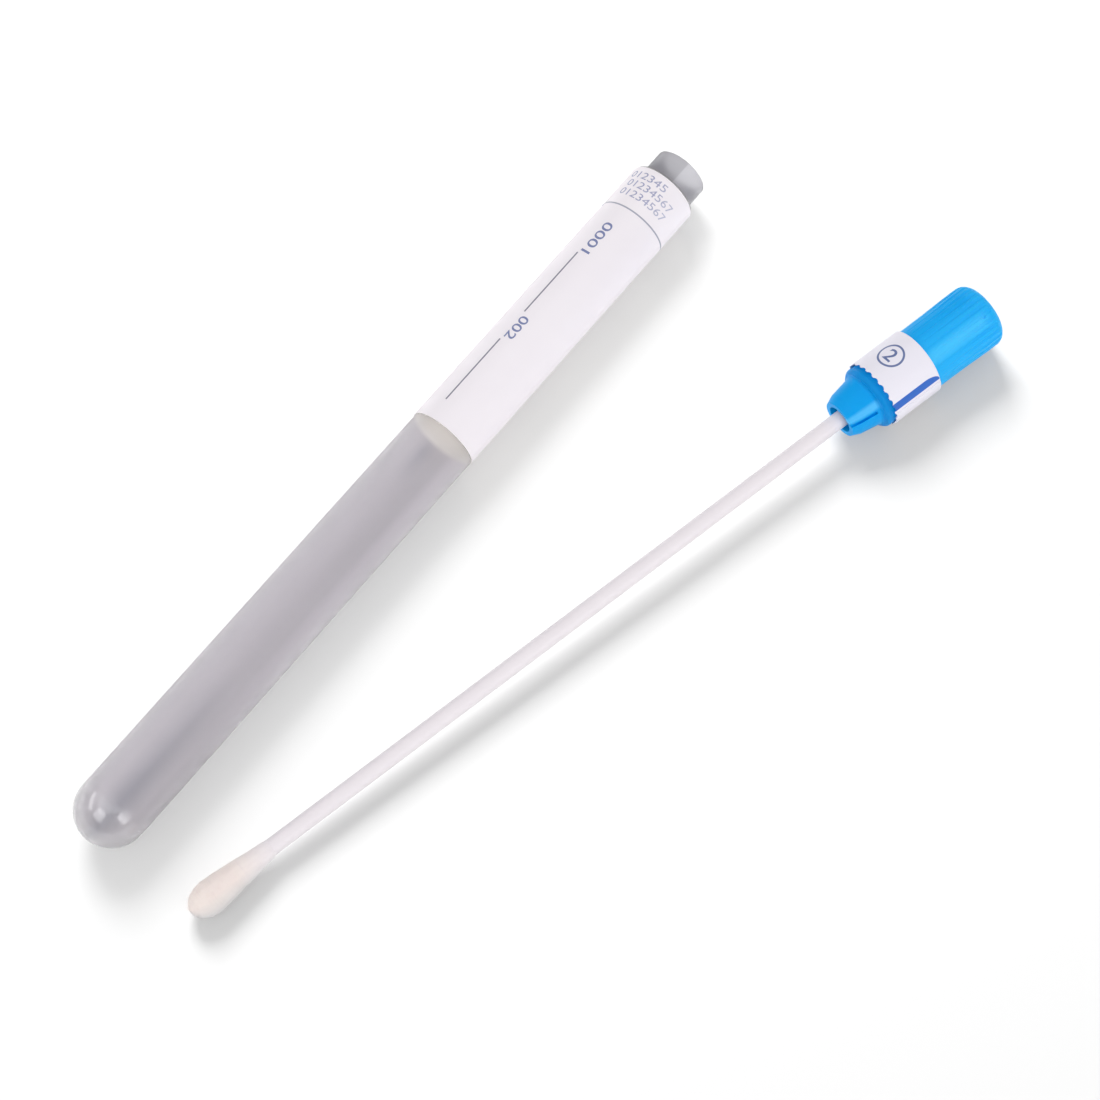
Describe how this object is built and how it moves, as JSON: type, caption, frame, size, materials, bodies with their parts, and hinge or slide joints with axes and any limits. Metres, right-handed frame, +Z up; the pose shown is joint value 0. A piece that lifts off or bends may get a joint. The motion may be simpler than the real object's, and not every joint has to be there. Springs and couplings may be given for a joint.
{
  "type": "specimen swab tube",
  "caption": "Round-bottomed plastic tube with a paper wrap, lying beside its blue plug cap, which carries a long stick with a soft fibre tip.",
  "frame": {"origin": "centre of the box round the tube and the swab, on the surface they lie on", "axes": "+X along the tube from its round bottom to its mouth, +Z up from the surface, and the swab lies on the -Y side of the tube"},
  "size_m": [0.1618, 0.0668, 0.0122],
  "materials": {
    "tube": "clear grey, slightly cloudy, smooth",
    "tube_label": "smooth white label paper with a satin face",
    "cap": "smooth soft plastic, satin",
    "cap_label": "smooth white label paper with a satin face",
    "stick": "smooth white plastic, slightly see-through",
    "bud": "wound fibre, matt"
  },
  "bodies": {
    "root": {"tube": "tube", "tube_label": "tube_label", "cap": "cap", "cap_label": "cap_label", "stick": "stick", "bud": "bud"}
  },
  "joints": []
}
